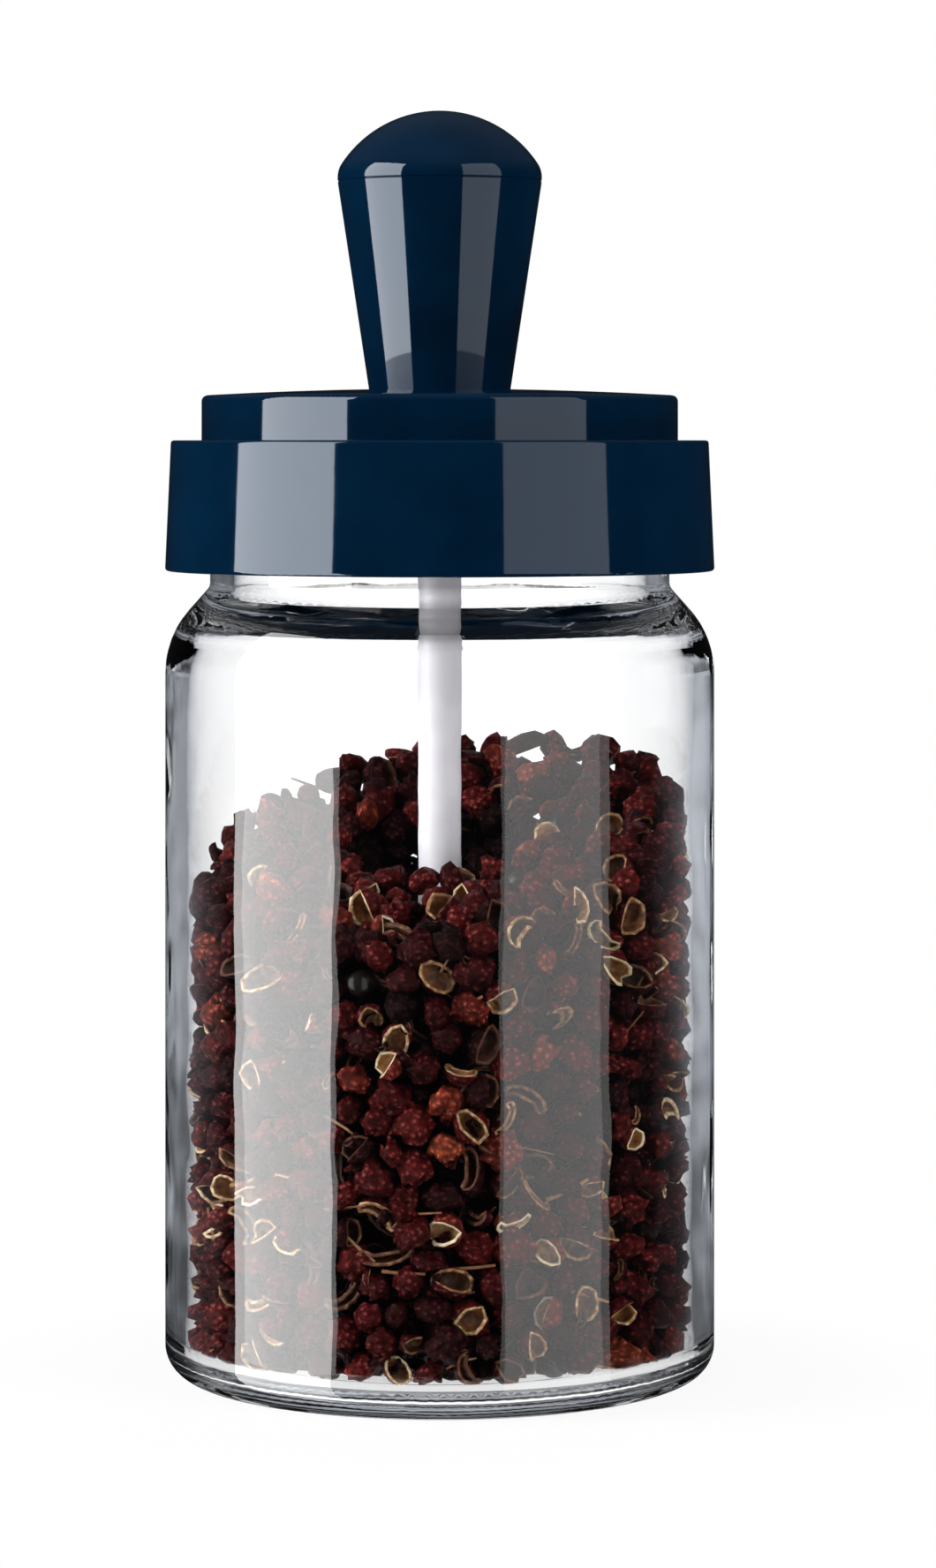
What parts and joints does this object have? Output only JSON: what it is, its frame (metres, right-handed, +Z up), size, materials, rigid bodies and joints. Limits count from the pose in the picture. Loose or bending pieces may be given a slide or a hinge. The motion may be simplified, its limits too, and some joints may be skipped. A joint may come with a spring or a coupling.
{
  "type": "spice jar",
  "caption": "Round clear glass spice jar with a flared screw collar, a pull-out knob lid that carries its own spoon, and a sloping fill of dried peppercorns.",
  "frame": {"origin": "centre of the jar's base, on the surface it stands on", "axes": "+Z up along the jar's axis, -Y towards the viewer, the spoon's bowl opens to -Y"},
  "size_m": [0.07, 0.07, 0.1617],
  "materials": {
    "clear_glass": "polished",
    "navy_plastic": "high gloss",
    "white_plastic": "satin",
    "silicone": "matte",
    "zinc_steel": "zinc plated",
    "peppercorn": "dry and wrinkled"
  },
  "bodies": {
    "jar": {"glass_jar": "clear_glass", "peppercorn_fill": "peppercorn"},
    "gasket": {"neck_gasket": "silicone"},
    "collar": {"screw_collar": "navy_plastic"},
    "seal": {"lid_seal": "silicone"},
    "lid": {"lid_cap": "navy_plastic", "knob_body": "navy_plastic", "knob_dome": "navy_plastic", "knob_screw": "zinc_steel", "screw_washer": "zinc_steel", "spoon": "white_plastic"}
  },
  "joints": [
    {"name": "collar_rise", "type": "slide", "parent": "jar", "child": "gasket", "axis": [0, 0, 1], "range_m": [0, 0.006]},
    {"name": "collar_twist", "type": "hinge", "parent": "gasket", "child": "collar", "pos_m": [0, 0, 0.11], "axis": [0, 0, 1], "range_deg": [0, 540]},
    {"name": "lid_lift", "type": "slide", "parent": "collar", "child": "seal", "axis": [0, 0, 1], "range_m": [0, 0.12]},
    {"name": "lid_turn", "type": "hinge", "parent": "seal", "child": "lid", "pos_m": [0, 0, 0.12], "axis": [0, 0, 1], "continuous": true}
  ],
  "couplings": [
    {"joint": "collar_rise", "follows": "collar_twist", "m_per_rad": 0.00063662}
  ]
}
